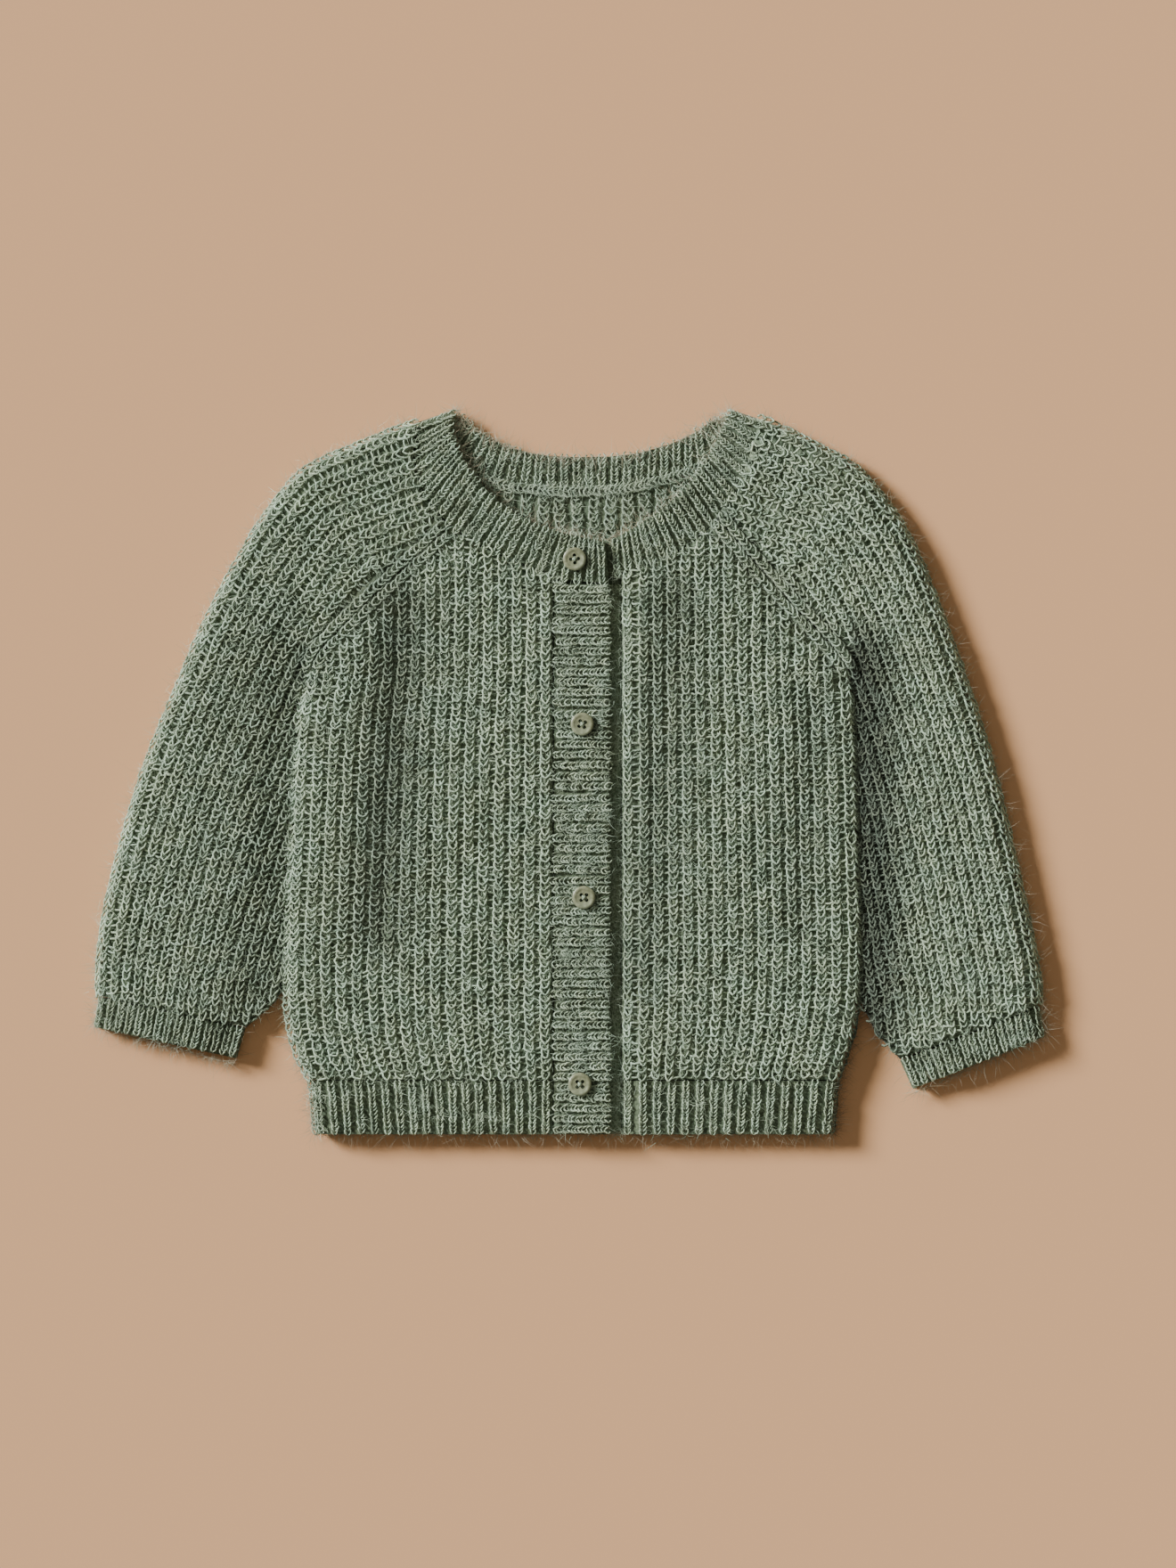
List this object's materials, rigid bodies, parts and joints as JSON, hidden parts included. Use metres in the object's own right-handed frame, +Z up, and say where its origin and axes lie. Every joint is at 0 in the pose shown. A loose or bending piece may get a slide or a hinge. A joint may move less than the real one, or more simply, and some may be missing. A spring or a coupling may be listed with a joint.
{
  "type": "baby cardigan",
  "caption": "Long-sleeved ribbed-knit baby cardigan with raglan sleeves, round neckband and buttoned front, laid flat.",
  "frame": {"origin": "middle of the garment's box, on the surface that it lies on", "axes": "+X towards the wearer's left, +Y up to the neck, +Z up off the surface"},
  "size_m": [0.4108, 0.3132, 0.0125],
  "materials": {
    "body_knit": "brushed mohair-blend rib knit, melange sage green, fuzzy and matte",
    "rib_knit": "finer ribbed knit of the same sage yarn, matte",
    "button_shell": "pearly olive shell-like resin, satin, four holes"
  },
  "bodies": {
    "root": {"back": "body_knit", "front_right": "body_knit", "front_left": "body_knit", "sleeve_right": "body_knit", "sleeve_left": "body_knit", "hem_back": "rib_knit", "hem_front_right": "rib_knit", "hem_front_left": "rib_knit", "cuff_right": "rib_knit", "cuff_left": "rib_knit", "neck_band": "rib_knit", "button_band": "rib_knit", "under_band": "rib_knit", "button_1": "button_shell", "button_2": "button_shell", "button_3": "button_shell", "button_4": "button_shell"}
  },
  "joints": []
}
